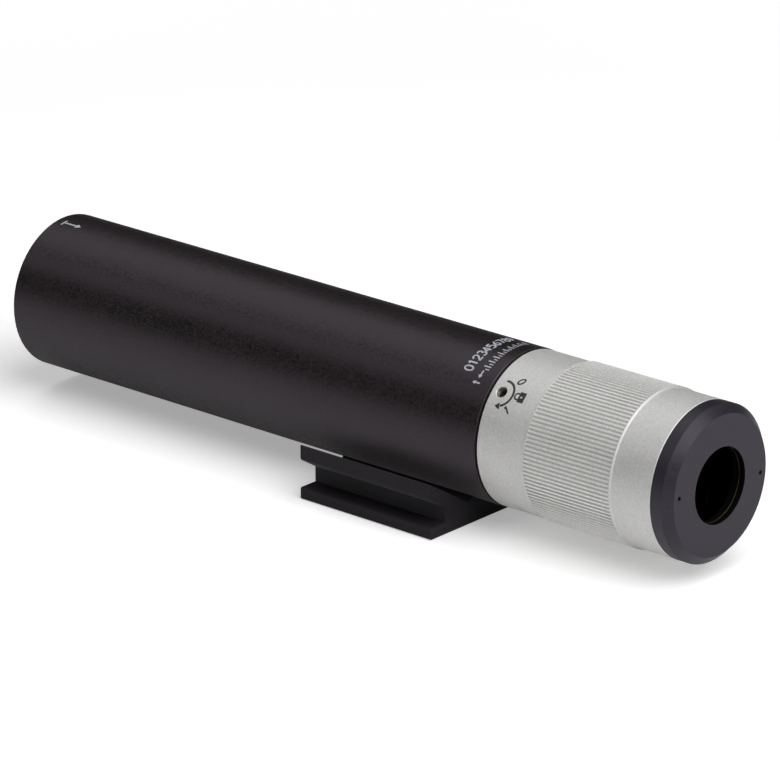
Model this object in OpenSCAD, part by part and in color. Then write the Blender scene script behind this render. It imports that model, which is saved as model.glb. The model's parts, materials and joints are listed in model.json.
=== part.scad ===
// Adjustable laser beam expander. A black tube stands on a grooved foot and holds a
// small input lens. A knurled silver collar screws along the tube's nose and carries
// a keyed cell with the output lenses, so the beam is focused without turning them.
// Stations are distances along the optical axis from the input end, in millimetres.
// The part's origin is the middle of the foot's base, +X is the way the beam leaves.

/* [Main tube] */
// Outer diameter of the main tube
tube_od = 50.8; // [49.5:0.1:52]
// Inner diameter of the main tube
tube_bore = 40; // [39:0.1:41]
// Length from the input end to the shoulder behind the collar
tube_len = 197.8; // [191:0.1:215]
// Length of the thicker wall behind the shoulder
tube_web = 8; // [5:0.5:9]
// Bevel on the tube's outer edges
tube_bevel = 0.5; // [0.2:0.1:0.8]

/* [Guide nose] */
// Length of the nose that the collar screws onto
nose_len = 40; // [38:0.5:41.5]
// Diameter of the plain land behind the thread
land_d = 43; // [42.8:0.1:43.3]
// Length of the plain land
land_len = 14; // [13.5:0.1:15]
// Diameter of the nose's outside thread
nose_thread_d = 42.4; // [42.2:0.1:42.6]
// Pitch of the focusing thread
focus_pitch = 1; // [0.75:0.25:1.25]
// Bore that guides the output cell
guide_bore = 38.1; // [37.8:0.1:38.3]
// Depth of the ring groove that the lock pad presses in
lock_groove_depth = 0.9; // [0.6:0.1:1.1]
// Thickness of the rubber drag ring
drag_ring_d = 1.3; // [1:0.1:1.5]
// Distance from the shoulder to the middle of the drag ring
drag_ring_at = 11.4; // [10.8:0.1:12]

/* [Focus collar] */
// Outer diameter of the collar's plain bands
collar_od = 50.4; // [50:0.1:51]
// Length of the collar
collar_len = 67.9; // [66:0.1:70]
// Gap between the tube's shoulder and the collar at rest
collar_gap = 0.7; // [0.6:0.1:1]
// Travel of the collar from rest towards the tube
focus_in = 0.5; // [0.2:0.1:0.5]
// Travel of the collar from rest away from the tube
focus_out = 1.5; // [0.5:0.1:2]
// Distance from the collar's rear edge to the knurl
knurl_at = 18.4; // [16:0.1:20]
// Length of the knurl
knurl_len = 34.6; // [30:0.1:38]
// Diameter over the knurl's ridges
knurl_od = 51.3; // [51.1:0.1:52]
// Number of ridges round the collar
knurl_lines = 120; // [90:1:140]
// Depth of the knurl's valleys
knurl_depth = 0.4; // [0.3:0.05:0.5]
// Length of the bevel from the plain band up to the knurl, at both its ends
knurl_bevel = 0.45; // [0.2:0.05:0.6]
// Width of the plain land between a bevel and the knurl's grooves
knurl_land = 0.2; // [0.1:0.05:0.5]
// Depth of the collar's bore from its rear edge to the lip
collar_bore_len = 42.6; // [42.1:0.1:45]
// Thickness of the lip that carries the output cell
lip_t = 3; // [2:0.1:4]
// Diameter of the collar's front bore
front_bore = 43.3; // [43:0.1:44]

/* [Front ring] */
// Outer diameter of the black front ring
ring_od = 50.4; // [50:0.1:51]
// Thickness of the front ring outside the collar
ring_t = 7; // [6:0.1:8]
// Width of the bevel round its face
ring_bevel = 2.7; // [1.5:0.1:3.2]
// Diameter of the output aperture
aperture_d = 24.3; // [22:0.1:25]
// Thickness of the face round the aperture
face_t = 2.2; // [1.8:0.1:2.8]
// Length of the ring's threaded spigot inside the collar
spigot_len = 8; // [5:0.5:10]
// Diameter of the circle through the spanner holes
spanner_pcd = 39.8; // [32:0.1:41]
// Diameter of a spanner hole
spanner_d = 1.5; // [1:0.1:2.5]
// Depth of a spanner hole
spanner_depth = 1.5; // [1:0.1:1.6]
// Angle of the spanner holes round the axis
spanner_angle = 175.6; // [0:0.1:360]

/* [Output cell] */
// Length of the output cell's sleeve inside the tube's nose
cell_guide_len = 25.8; // [22:0.1:27]
// Thickness of the cell's flange in front of the lip
flange_t = 3; // [2:0.1:4]
// Height left for the wave washer
washer_space = 1; // [0.8:0.1:1.4]
// Thickness of the wave washer's strip
washer_t = 0.3; // [0.2:0.05:0.4]
// Thickness of the ring that captures the cell
capture_t = 4; // [3:0.5:5]
// Gap between the cell's front end and the front ring's face
cell_front_gap = 0.5; // [0.4:0.1:1]
// Diameter of the output lenses
lens_d = 30; // [29:0.1:31]
// Clear aperture of the output lens rings and seat
lens_clear_d = 25.3; // [25.1:0.1:26]
// Thickness of the output lens retaining ring
lens_ring_t = 2; // [1.5:0.1:3]
// Edge thickness of the front output lens
front_lens_edge = 3.5; // [3:0.1:4.5]
// Radius of the front lens's outer face
front_lens_r1 = 125; // [90:1:200]
// Radius of the front lens's inner face
front_lens_r2 = 98; // [80:1:200]
// Thickness of the spacer between the output lenses
spacer_t = 1; // [0.8:0.1:2]
// Edge thickness of the rear output lens
rear_lens_edge = 4; // [3.5:0.1:5]
// Radius of the rear lens's hollow face
rear_lens_r1 = 96; // [80:1:200]
// Radius of the rear lens's inner face
rear_lens_r2 = 320; // [200:1:500]
// Thickness of the shoulder that the output lenses seat on
seat_t = 2.5; // [1.5:0.1:4]

/* [Key and lock] */
// Diameter of the key pin
key_d = 3; // [2.5:0.1:3.5]
// Distance from the nose's end back to the key pin
key_back = 14; // [12:0.1:16]
// Depth of the key slot in the cell
key_slot_depth = 2; // [1.5:0.1:2.5]
// Distance from the collar's rear edge to the lock screw
lock_at = 3.85; // [3.8:0.05:4.4]
// Angle of the lock screw round the axis
lock_angle = 135; // [0:1:360]
// Thread diameter of the lock screw
lock_d = 3.5; // [3:0.1:3.6]
// Length of the lock screw
lock_len = 2; // [1.8:0.1:2.6]
// Width across the flats of its socket
lock_socket = 1.6; // [1.3:0.1:2]
// Thickness of the brass pad under the lock screw
lock_pad_t = 0.9; // [0.6:0.1:1]

/* [Input end] */
// Thickness of the input end cap
cap_t = 8; // [6:0.5:12]
// Bore of the input end cap for the laser's threaded nose
cap_bore = 25.4; // [20:0.1:30]
// Depth of the cap below the tube's end
cap_inset = 0.6; // [0.3:0.1:2]
// Diameter of the circle through the cap's spanner holes
cap_spanner_pcd = 33; // [32:0.5:36]
// Station of the input lens seat
input_seat_at = 32; // [25:0.5:60]
// Thickness of the input lens cell
input_cell_t = 7; // [6.5:0.1:10]
// Diameter of the input lens
input_lens_d = 12; // [9:0.1:15]
// Edge thickness of the input lens
input_lens_edge = 3; // [2.5:0.1:3.5]
// Radius of the input lens's hollow faces
input_lens_r = 26; // [20:1:60]
// Thickness of the input lens retaining ring
input_ring_t = 1.5; // [1:0.1:2]
// Thickness of the ring that locks the input cell
lock_ring_t = 3; // [2:0.1:5]

/* [Mounting foot] */
// Station of the foot's middle
foot_at = 161.4; // [150:0.1:168]
// Length of the foot along the tube
foot_len = 53.6; // [44:0.1:60]
// Width of the foot
foot_w = 69.2; // [64:0.1:80]
// Height of the optical axis above the base
axis_h = 29.7; // [29.2:0.1:34]
// Thickness of the base flange below the clamp grooves
base_t = 3.9; // [3:0.1:5]
// Height of the clamp grooves at their mouth
groove_h = 9.3; // [7:0.1:10.2]
// Depth of the clamp grooves
groove_depth = 6.95; // [4:0.05:9]
// Slope of the foot's upper faces
slope = 31.5; // [28:0.5:33]
// Height of the saddle above the sloping faces
saddle_h = 2.43; // [1.2:0.01:2.8]
// Half width of the saddle
saddle_half = 16.2; // [14:0.1:18]
// Bevel on the foot's edges
foot_bevel = 0.4; // [0.2:0.1:0.8]
// Distance between the foot screws
foot_screw_pitch = 32; // [24:0.5:38]
// Thread diameter of the foot screws
foot_screw_d = 4; // [3:0.1:4.5]
// Length of the foot screws
foot_screw_len = 8; // [6.5:0.1:8.2]

/* [Fits] */
// Radial clearance of a running fit
run_fit = 0.05; // [0.03:0.01:0.08]
// Radial clearance of a screwed or seated fit
seat_fit = 0.02; // [0.01:0.01:0.03]
// Clearance where pieces pass freely
free_gap = 0.3; // [0.2:0.05:0.4]

/* [Hidden] */
$fn = 128;
black = "#2c2a2f";
clear = "#bfe0e8";
brass = "#b5924c";
steel = "#8c8e90";
eps = 0.01;
edge = 0.25;                      // small broken edges on turned pieces
land_proud = 0.03;                // height of the knurl's lands over its ridges
tube_r = tube_od / 2;
bore_r = tube_bore / 2;
land_r = land_d / 2;
nose_thread_r = nose_thread_d / 2;
guide_r = guide_bore / 2;
collar_r = collar_od / 2;
front_r = front_bore / 2;
lens_r = lens_d / 2;
clear_r = lens_clear_d / 2;
// stations of the tube and the nose
nose_end = tube_len + nose_len;
land_end = tube_len + land_len;
relief_w = 1.5 * focus_pitch;     // undercut where the thread runs out
relief_d = 0.7 * focus_pitch;
// stations of the collar and the front ring
collar_0 = tube_len + collar_gap;
collar_1 = collar_0 + collar_len;
face_1 = collar_1 + ring_t;
knurl_0 = collar_0 + knurl_at;
knurl_1 = knurl_0 + knurl_len;
lip_0 = collar_0 + collar_bore_len;
lip_1 = lip_0 + lip_t;
// the lock screw and the groove that its pad runs in, over the whole focus travel
lock_station = collar_0 + lock_at;
lock_hole_r = lock_d / 2 + run_fit;
pad_r = lock_d / 2 - free_gap + run_fit;
groove_r = land_r - lock_groove_depth;
groove_0 = lock_station - pad_r - focus_in - free_gap;
groove_1 = lock_station + pad_r + focus_out + free_gap;
pad_0 = groove_r + free_gap / 2;
pad_1 = pad_0 + lock_pad_t;
// stations of the output cell
cell_r = guide_r - run_fit;
cell_0 = nose_end - cell_guide_len;
cell_1 = face_1 - face_t - cell_front_gap;
pass_r = cell_r + free_gap;       // bores that the cell passes through freely
flange_r = front_r - free_gap;
flange_0 = lip_1 + run_fit;
flange_1 = flange_0 + flange_t;
capture_0 = flange_1 + washer_space;
// rings touch a bulging face inside its rim, by this much beyond its edge plane
function bulge(r, at) = sqrt(r * r - at * at) - sqrt(r * r - lens_r * lens_r);
spacer_r = clear_r + 0.5;
lens_ring_1 = cell_1 - edge;
lens_ring_0 = lens_ring_1 - lens_ring_t;
front_lens_1 = lens_ring_0 - bulge(front_lens_r1, clear_r);
front_lens_0 = front_lens_1 - front_lens_edge;
spacer_1 = front_lens_0 - bulge(front_lens_r2, spacer_r);
rear_lens_1 = spacer_1 - spacer_t;
rear_lens_0 = rear_lens_1 - rear_lens_edge;
seat_1 = rear_lens_0 - bulge(rear_lens_r2, clear_r);
seat_0 = seat_1 - seat_t;
lens_fit_r = lens_r + run_fit;
key_station = nose_end - key_back;
key_out_r = nose_thread_r - 0.6 * focus_pitch;
key_in_r = cell_r - key_slot_depth + free_gap;
// stations of the input end
cap_0 = cap_inset;
cap_1 = cap_0 + cap_t;
input_cell_0 = input_seat_at - 2;
input_cell_1 = input_cell_0 + input_cell_t;
input_lens_1 = input_seat_at + input_lens_edge;
input_clear_r = input_lens_d / 2 - 1.2;
// the foot's countersunk screws
head_r = foot_screw_d;
head_h = foot_screw_d / 2;
head_inset = 0.2;

// Draws a profile or solid whose +Z is the optical axis, at its station.
module on_axis() {
  translate([-foot_at, 0, axis_h]) rotate([0, 90, 0]) children();
}

// Turns a closed profile of [radius, station] points round the optical axis.
module turned(profile) {
  on_axis() rotate_extrude() polygon(profile);
}

// Draws children whose +Z runs outwards from the axis, at a station and angle.
module radial(station, angle) {
  translate([station - foot_at, 0, axis_h]) rotate([angle - 90, 0, 0]) children();
}

// A pair of holes or slots on opposite sides of the axis.
module pair(station, angle) {
  for (side = [0, 180]) on_axis()
    rotate([0, 0, angle + side]) translate([0, 0, station]) children();
}

// Plain washer-like ring between two stations, with broken outer edges.
module plain_ring(inner, outer, low, high, bevel = edge) {
  turned([[inner, low], [outer - bevel, low], [outer, low + bevel],
          [outer, high - bevel], [outer - bevel, high], [inner, high]]);
}

// A lens of two spherical faces. Positive radii bulge outwards, negative are hollow.
module lens(rim, low, high, r_low, r_high) {
  function sag(r) = abs(r) - sqrt(r * r - rim * rim);
  on_axis() rotate_extrude() difference() {
    union() {
      translate([0, low]) square([rim, high - low]);
      if (r_low > 0) cap_of(rim, low + sqrt(r_low * r_low - rim * rim), r_low, low, -1);
      if (r_high > 0) cap_of(rim, high - sqrt(r_high * r_high - rim * rim), r_high, high, 1);
    }
    if (r_low < 0) hollow_of(rim, low + sag(r_low) + r_low, -r_low);
    if (r_high < 0) hollow_of(rim, high - sag(r_high) - r_high, -r_high);
  }
}

// The half segment of a circle that stands out of a lens's edge plane.
module cap_of(rim, centre, r, plane, way) {
  intersection() {
    translate([0, centre]) circle(r = r, $fn = 720);
    translate([0, way > 0 ? plane : plane - r]) square([rim, r]);
  }
}

// The half circle that is ground out of a hollow lens face.
module hollow_of(rim, centre, r) {
  intersection() {
    translate([0, centre]) circle(r = r, $fn = 720);
    translate([0, centre - r - 1]) square([rim + 1, 2 * r + 2]);
  }
}

// Cuts of the countersunk foot screws, through the foot and into the tube's wall.
module foot_screw_places() {
  for (side = [-1, 1]) translate([side * foot_screw_pitch / 2, 0, 0]) children();
}

module main_tube() {
  lip = 0.3;
  color(black) difference() {
    turned([
      [bore_r + lip, 0], [tube_r - tube_bevel, 0], [tube_r, tube_bevel],
      [tube_r, tube_len - edge], [tube_r - edge, tube_len],
      [land_r, tube_len], [land_r, groove_0], [groove_r, groove_0],
      [groove_r, groove_1], [land_r, groove_1],
      [land_r, tube_len + drag_ring_at - drag_ring_d / 2 - run_fit],
      [land_r - drag_ring_d, tube_len + drag_ring_at - drag_ring_d / 2 - run_fit],
      [land_r - drag_ring_d, tube_len + drag_ring_at + drag_ring_d / 2 + run_fit],
      [land_r, tube_len + drag_ring_at + drag_ring_d / 2 + run_fit],
      [land_r, land_end], [nose_thread_r - relief_d, land_end],
      [nose_thread_r - relief_d, land_end + relief_w],
      [nose_thread_r, land_end + relief_w],
      [nose_thread_r, nose_end - relief_d], [nose_thread_r - relief_d, nose_end],
      [guide_r + edge, nose_end], [guide_r, nose_end - edge],
      [guide_r, tube_len - tube_web + (bore_r - guide_r)],
      [bore_r, tube_len - tube_web], [bore_r, lip]
    ]);
    foot_screw_places() translate([0, 0, axis_h - tube_r - 1])
      cylinder(r = foot_screw_d / 2 + seat_fit, h = foot_screw_len - axis_h + tube_r + 1.5);
    radial(key_station, 90)
      translate([0, 0, guide_r - 1]) cylinder(r = key_d / 2 + seat_fit, h = 6);
  }
}

// Half outline of the foot, from the base's middle out and up to the saddle.
function foot_half() = let (
  half = foot_w / 2, low = -axis_h, b = foot_bevel,
  inner = half - groove_depth, g0 = low + base_t, g1 = g0 + groove_h,
  reach = tube_r + saddle_h,
  top = function (y) (y * sin(slope) - reach) / cos(slope),
  roof = function (y) g1 + (y - half) * tan(slope),
  wall = saddle_h + 2
) [
  [half - b, low], [half, low + b], [half, g0 - b], [half - b, g0], [inner, g0],
  [inner, roof(inner)], [half - b, roof(half - b)], [half, roof(half) + b], [half, top(half) - b],
  [half - b, top(half - b)], [saddle_half, top(saddle_half)],
  [saddle_half - wall, top(saddle_half) + wall]
];

module mounting_foot() {
  outline = foot_half();
  count = len(outline);
  mirrored = [for (i = [count - 1:-1:0]) [-outline[i][0], outline[i][1]]];
  color(black) difference() {
    translate([-foot_len / 2, 0, axis_h]) rotate([90, 0, 90])
      linear_extrude(foot_len) difference() {
        polygon(concat(outline, mirrored));
        circle(r = tube_r + seat_fit, $fn = 256);
      }
    foot_screw_places() {
      translate([0, 0, -1]) cylinder(r = foot_screw_d / 2 + free_gap, h = axis_h);
      translate([0, 0, -eps])
        cylinder(r1 = head_r + head_inset + seat_fit, r2 = foot_screw_d / 2 + seat_fit,
                 h = head_h + head_inset + eps);
    }
  }
}

module foot_screws() {
  color(steel) foot_screw_places() translate([0, 0, head_inset]) difference() {
    union() {
      cylinder(r1 = head_r, r2 = foot_screw_d / 2, h = head_h);
      translate([0, 0, head_h - eps])
        cylinder(r = foot_screw_d / 2, h = foot_screw_len - head_h - 0.4 + eps);
      translate([0, 0, foot_screw_len - 0.4])
        cylinder(r1 = foot_screw_d / 2, r2 = foot_screw_d / 2 - 0.4, h = 0.4);
    }
    translate([0, 0, -1]) cylinder(d = foot_screw_d * 0.72, h = 1 + head_h * 0.8, $fn = 6);
  }
}

module input_end_cap() {
  outer = bore_r - seat_fit;
  color(black) difference() {
    plain_ring(cap_bore / 2, outer, cap_0, cap_1, 0.4);
    on_axis() translate([0, 0, cap_0 - eps])
      cylinder(r1 = cap_bore / 2 + 0.6, r2 = cap_bore / 2, h = 0.6 + eps);
    pair(cap_0 - 1, 90) translate([0, cap_spanner_pcd / 2, 0]) cylinder(d = 2, h = 4);
  }
}

module input_lens_cell() {
  outer = bore_r - seat_fit;
  color(brass) turned([
    [input_clear_r, input_cell_0], [outer - edge, input_cell_0],
    [outer, input_cell_0 + edge], [outer, input_cell_1 - edge],
    [outer - edge, input_cell_1], [input_lens_d / 2 + 3, input_cell_1],
    [input_lens_d / 2 + run_fit, input_cell_1 - 1],
    [input_lens_d / 2 + run_fit, input_seat_at], [input_clear_r, input_seat_at]
  ]);
}

module input_lens() {
  color(clear, 0.5)
    lens(input_lens_d / 2, input_seat_at, input_lens_1, -input_lens_r, -input_lens_r);
}

module input_lens_ring() {
  color(black) difference() {
    plain_ring(input_clear_r, input_lens_d / 2, input_lens_1, input_lens_1 + input_ring_t, 0.15);
    pair(input_lens_1 + input_ring_t - 0.6, 90)
      translate([-0.4, 0, 0]) cube([0.8, input_lens_d, 2]);
  }
}

module input_lock_ring() {
  color(black) difference() {
    plain_ring(bore_r - 5, bore_r - seat_fit, input_cell_1, input_cell_1 + lock_ring_t);
    pair(input_cell_1 + lock_ring_t - 1.2, 90)
      translate([-1, bore_r - 6, 0]) cube([2, 7, 3]);
  }
}

module key_pin() {
  color(steel) radial(key_station, 90) translate([0, 0, key_in_r]) {
    cylinder(r1 = key_d / 2 - edge, r2 = key_d / 2, h = edge);
    translate([0, 0, edge]) cylinder(r = key_d / 2, h = key_out_r - key_in_r - edge);
  }
}

// Round-section rubber ring, drawn at its squeezed size in the nose's groove.
module drag_ring() {
  color("#1b1b1b") on_axis() translate([0, 0, tube_len + drag_ring_at]) rotate_extrude()
    translate([land_r - drag_ring_d / 2, 0]) circle(d = drag_ring_d - seat_fit, $fn = 48);
}

module output_cell() {
  inner = lens_r - 0.5;
  slot_0 = key_station - key_d / 2 - focus_out - run_fit;
  slot_1 = key_station + key_d / 2 + focus_in + run_fit;
  color(black) difference() {
    turned([
      [inner, cell_0], [cell_r - edge, cell_0], [cell_r, cell_0 + edge],
      [cell_r, flange_0], [flange_r - edge, flange_0], [flange_r, flange_0 + edge],
      [flange_r, flange_1 - edge], [flange_r - edge, flange_1], [cell_r, flange_1],
      [cell_r, cell_1 - edge], [cell_r - edge, cell_1], [lens_fit_r, cell_1],
      [lens_fit_r, seat_1], [clear_r, seat_1], [clear_r, seat_0 + 1],
      [clear_r + 1, seat_0], [inner, seat_0]
    ]);
    // the slot that the key pin runs in, closed at both ends as the focus stops
    radial(0, 90) translate([0, 0, cell_r - key_slot_depth])
      linear_extrude(key_slot_depth + 1) {
        width = key_d + 2 * run_fit;
        translate([slot_0 + width / 2, -width / 2]) square([slot_1 - slot_0 - width, width]);
        for (end = [slot_0 + width / 2, slot_1 - width / 2])
          translate([end, 0]) circle(d = width, $fn = 64);
      }
  }
}

module output_lens_front() {
  color(clear, 0.5)
    lens(lens_r, front_lens_0, front_lens_1, front_lens_r2, front_lens_r1);
}

module output_lens_spacer() {
  color(black) turned([[spacer_r, rear_lens_1], [lens_r, rear_lens_1],
                       [lens_r, spacer_1], [spacer_r, spacer_1]]);
}

module output_lens_rear() {
  color(clear, 0.5)
    lens(lens_r, rear_lens_0, rear_lens_1, rear_lens_r2, -rear_lens_r1);
}

module output_lens_ring() {
  color(black) difference() {
    turned([
      [clear_r, lens_ring_0], [lens_r - edge, lens_ring_0], [lens_r, lens_ring_0 + edge],
      [lens_r, lens_ring_1 - edge], [lens_r - edge, lens_ring_1],
      [clear_r + 0.4, lens_ring_1], [clear_r, lens_ring_1 - 0.4]
    ]);
    pair(lens_ring_1 - 0.8, 90) translate([-0.5, clear_r + 0.8, 0]) cube([1, 6, 3]);
  }
}

// Cross-section of the straight knurl: ridges with narrow flats and sloped flanks.
function knurl_outline() = let (
  step = 360 / knurl_lines, top = knurl_od / 2 - land_proud, root = knurl_od / 2 - knurl_depth,
  corners = [[-0.17, top], [0.17, top], [0.40, root], [0.60, root]]
) [for (i = [0:knurl_lines - 1]) for (c = corners)
   let (a = (i + c[0]) * step) c[1] * [cos(a), sin(a)]];

// The grooved part of the knurled band, between the plain lands at its ends.
module knurl_band(core) {
  end = knurl_bevel + knurl_land;
  on_axis() translate([0, 0, knurl_0 + end - eps])
    linear_extrude(knurl_len - 2 * (end - eps)) difference() {
      polygon(knurl_outline());
      circle(r = core - 1);
    }
}

module focus_collar() {
  core = knurl_od / 2 - knurl_depth - 0.5;
  top = knurl_od / 2;
  end = knurl_bevel + knurl_land;
  rear_r = land_r + run_fit;
  screw_r = nose_thread_r + run_fit;
  bevel = 0.35;
  color("silver") difference() {
    union() {
      turned([
        [rear_r + edge, collar_0], [collar_r - bevel, collar_0],
        [collar_r, collar_0 + bevel], [collar_r, knurl_0],
        [top, knurl_0 + knurl_bevel], [top, knurl_0 + end], [core, knurl_0 + end],
        [core, knurl_1 - end], [top, knurl_1 - end], [top, knurl_1 - knurl_bevel],
        [collar_r, knurl_1], [collar_r, collar_1 - edge],
        [collar_r - edge, collar_1], [front_r + edge, collar_1],
        [front_r, collar_1 - edge], [front_r, lip_1], [pass_r, lip_1],
        [pass_r, lip_0], [screw_r, lip_0],
        [screw_r, land_end + focus_out + 1], [rear_r, land_end + focus_out + 0.6],
        [rear_r, collar_0 + edge]
      ]);
      knurl_band(core);
    }
    // tapped hole of the lock screw, with a small countersink at its mouth
    radial(lock_station, lock_angle) {
      translate([0, 0, land_r - 3]) cylinder(r = lock_hole_r, h = collar_r);
      translate([0, 0, collar_r - edge])
        cylinder(r1 = lock_hole_r, r2 = lock_hole_r + 2 * edge, h = 2 * edge);
    }
  }
}

module front_ring() {
  inner = aperture_d / 2;
  spigot_r = front_r - seat_fit;
  spigot_0 = collar_1 - spigot_len;
  outer = ring_od / 2;
  color(black) difference() {
    turned([
      [inner + 0.1, face_1], [outer - ring_bevel, face_1], [outer, face_1 - ring_bevel],
      [outer, collar_1 + 0.1], [outer - 0.1, collar_1 + seat_fit],
      [spigot_r, collar_1 + seat_fit], [spigot_r, spigot_0 + 0.4], [spigot_r - 0.4, spigot_0],
      [pass_r, spigot_0], [pass_r, face_1 - face_t], [inner, face_1 - face_t],
      [inner, face_1 - 0.1]
    ]);
    pair(face_1 - spanner_depth, spanner_angle)
      translate([0, spanner_pcd / 2, 0]) cylinder(d = spanner_d, h = spanner_depth + 1);
  }
}

module cell_capture_ring() {
  outer = front_r - seat_fit;
  color(black) difference() {
    plain_ring(pass_r, outer, capture_0, capture_0 + capture_t);
    pair(capture_0 + capture_t - 1.2, 90)
      translate([-1, pass_r - 1, 0]) cube([2, 4, 3]);
  }
}

// A three-wave spring washer, standing between the cell's flange and its ring.
module wave_washer() {
  steps = 72;
  inner = cell_r + free_gap;
  outer = front_r - 2 * free_gap;
  swing = (washer_space - washer_t) / 2 - seat_fit;
  mid = (flange_1 + capture_0) / 2;
  wave = function (a) mid + swing * sin(3 * a);
  points = [for (i = [0:steps - 1]) let (a = i * 360 / steps, d = [cos(a), sin(a)])
    for (c = [[inner, -1], [outer, -1], [outer, 1], [inner, 1]])
      [c[0] * d[0], c[0] * d[1], wave(a) + c[1] * washer_t / 2]];
  faces = [for (i = [0:steps - 1]) for (k = [0:3]) let (
    a = 4 * i + k, b = 4 * i + (k + 1) % 4,
    c = (4 * (i + 1) + (k + 1) % 4) % (4 * steps), d = (4 * (i + 1) + k) % (4 * steps))
      each [[a, b, c], [a, c, d]]];
  color(steel) on_axis() polyhedron(points, [for (f = faces) [f[2], f[1], f[0]]]);
}

module lock_pad() {
  color(brass) radial(lock_station, lock_angle) translate([0, 0, pad_0])
    cylinder(r = pad_r, h = lock_pad_t);
}

module lock_screw() {
  color(steel) radial(lock_station, lock_angle) translate([0, 0, pad_1 + seat_fit])
    difference() {
      union() {
        cylinder(r1 = lock_d / 2 - 0.4, r2 = lock_d / 2, h = 0.4);
        translate([0, 0, 0.4]) cylinder(d = lock_d, h = lock_len - 0.6);
        translate([0, 0, lock_len - 0.2])
          cylinder(r1 = lock_d / 2, r2 = lock_d / 2 - 0.2, h = 0.2);
      }
      translate([0, 0, lock_len / 2])
        cylinder(d = lock_socket / cos(30), h = lock_len, $fn = 6);
    }
}

main_tube();
mounting_foot();
foot_screws();
input_end_cap();
input_lens_cell();
input_lens();
input_lens_ring();
input_lock_ring();
key_pin();
drag_ring();
output_cell();
output_lens_front();
output_lens_spacer();
output_lens_rear();
output_lens_ring();
focus_collar();
front_ring();
cell_capture_ring();
wave_washer();
lock_pad();
lock_screw();
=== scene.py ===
"""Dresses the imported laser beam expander: finishes, threads, marks, light and camera.

Lengths in the classes are in millimetres, measured as the CAD part is: stations run along
the optical axis from the input end, radii stand square to it, and angles turn round it from
+Y (0 degrees) over the top (90 degrees) to the near side, -Y (180 degrees).
"""

import json
import logging
from dataclasses import dataclass, field
from enum import Enum

import bmesh
import bpy
import numpy as np
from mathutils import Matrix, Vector

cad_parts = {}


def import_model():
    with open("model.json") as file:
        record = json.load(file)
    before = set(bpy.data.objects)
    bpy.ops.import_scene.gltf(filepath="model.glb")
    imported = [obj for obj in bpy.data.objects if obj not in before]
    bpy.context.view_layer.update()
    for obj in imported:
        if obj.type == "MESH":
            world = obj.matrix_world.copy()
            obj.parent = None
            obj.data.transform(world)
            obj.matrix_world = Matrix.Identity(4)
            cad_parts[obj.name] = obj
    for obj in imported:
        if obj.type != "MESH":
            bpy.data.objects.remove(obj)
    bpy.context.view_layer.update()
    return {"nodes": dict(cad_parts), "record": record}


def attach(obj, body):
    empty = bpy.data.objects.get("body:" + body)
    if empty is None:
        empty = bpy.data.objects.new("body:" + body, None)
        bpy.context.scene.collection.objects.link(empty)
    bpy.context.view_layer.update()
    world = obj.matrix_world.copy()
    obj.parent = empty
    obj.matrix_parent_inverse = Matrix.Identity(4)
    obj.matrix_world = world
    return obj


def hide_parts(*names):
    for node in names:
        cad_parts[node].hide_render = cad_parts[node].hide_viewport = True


log = logging.getLogger("beam_expander")
MM = 0.001
MERGE = 2e-7              # doubles are this close, in metres
NEEDLE = 0.06             # width of a printed point, in mm
DIGIT_MIDDLE = 0.3        # half the width of a digit's box, which is 1 high
NOISE_SPAN = (0.3, 0.7)   # where most of a noise's values lie


class Body(Enum):
    """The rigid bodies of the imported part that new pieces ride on."""

    BARREL = "barrel"
    COLLAR = "collar"
    SCREW = "screw"


class Shading(Enum):
    """How a piece's faces are shaded."""

    SMOOTH = True
    FLAT = False


# ---------------------------------------------------------------- geometry


@dataclass(frozen=True)
class OpticalAxis:
    """The line that every round piece of the expander is turned on."""

    foot_at: float = 161.4
    height: float = 29.7

    def place(self, station: np.ndarray, radius: np.ndarray, angle: np.ndarray) -> np.ndarray:
        """Turns stations, radii and angles into points: x is the station less the foot's
        station, y is radius times cosine, z is the axis height plus radius times sine.

        Args:
            station: Distance along the axis from the input end, in mm.
            radius: Distance from the axis, in mm.
            angle: Angle round the axis from +Y over the top, in degrees.

        Returns:
            Points in metres, with a last axis of length 3.
        """
        turn = np.radians(angle)
        x, y, z = np.broadcast_arrays(
            np.asarray(station, float) - self.foot_at,
            radius * np.cos(turn),
            self.height + radius * np.sin(turn),
        )
        return np.stack([x, y, z], axis=-1) * MM


AXIS = OpticalAxis()


@dataclass
class Grid:
    """One surface: points as a function of two parameters, rows by columns."""

    points: np.ndarray
    wrap_rows: bool = False
    wrap_cols: bool = False

    def quads(self) -> np.ndarray:
        """Joins each point to its neighbours in the next row and the next column.

        Returns:
            Four point numbers for each face, in rows.
        """
        rows, cols = self.points.shape[:2]
        number = np.arange(rows * cols).reshape(rows, cols)
        if self.wrap_rows:
            number = np.vstack([number, number[:1]])
        if self.wrap_cols:
            number = np.hstack([number, number[:, :1]])
        corners = (number[:-1, :-1], number[1:, :-1], number[1:, 1:], number[:-1, 1:])
        return np.stack(corners, axis=-1).reshape(-1, 4)


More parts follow.
